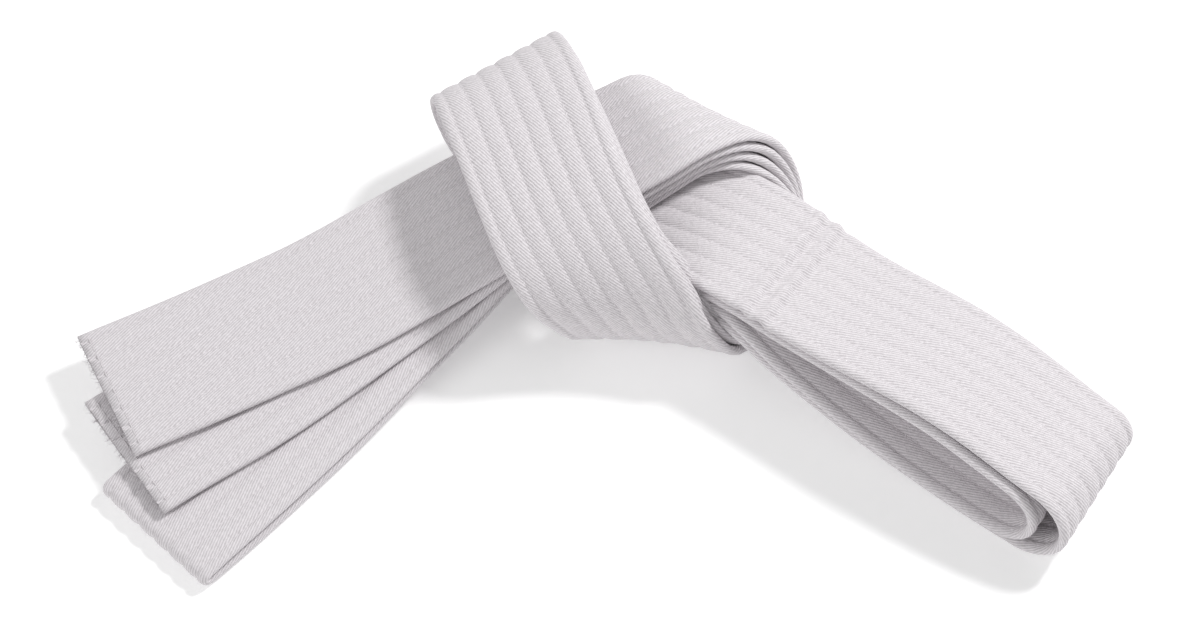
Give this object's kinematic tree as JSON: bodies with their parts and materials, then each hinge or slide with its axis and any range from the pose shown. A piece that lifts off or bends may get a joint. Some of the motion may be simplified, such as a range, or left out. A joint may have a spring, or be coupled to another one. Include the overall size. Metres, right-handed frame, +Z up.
{
  "type": "martial arts belt",
  "caption": "Quilted cotton martial arts belt, folded in four and tied in one overhand knot, with fanned tails on one side and an open loop on the other.",
  "frame": {"origin": "middle of the footprint, on the surface the belt lies on", "axes": "+X from the fanned tails to the open loop, +Y away from the front, +Z up"},
  "size_m": [0.2784, 0.1512, 0.0535],
  "materials": {
    "cotton_twill": "matt white cotton twill, quilted by seven rows of stitching",
    "cotton_padding": "matt unbleached cotton padding",
    "sewing_thread": "white spun sewing thread, slight sheen"
  },
  "bodies": {
    "root": {"cover_cloth": "cotton_twill", "core_padding": "cotton_padding", "needle_thread_1": "sewing_thread", "bobbin_thread_1": "sewing_thread", "needle_thread_2": "sewing_thread", "bobbin_thread_2": "sewing_thread", "needle_thread_3": "sewing_thread", "bobbin_thread_3": "sewing_thread", "needle_thread_4": "sewing_thread", "bobbin_thread_4": "sewing_thread", "needle_thread_5": "sewing_thread", "bobbin_thread_5": "sewing_thread", "needle_thread_6": "sewing_thread", "bobbin_thread_6": "sewing_thread", "needle_thread_7": "sewing_thread", "bobbin_thread_7": "sewing_thread", "end_seam_a_needle": "sewing_thread", "end_seam_a_bobbin": "sewing_thread", "end_seam_b_needle": "sewing_thread", "end_seam_b_bobbin": "sewing_thread"}
  },
  "joints": []
}
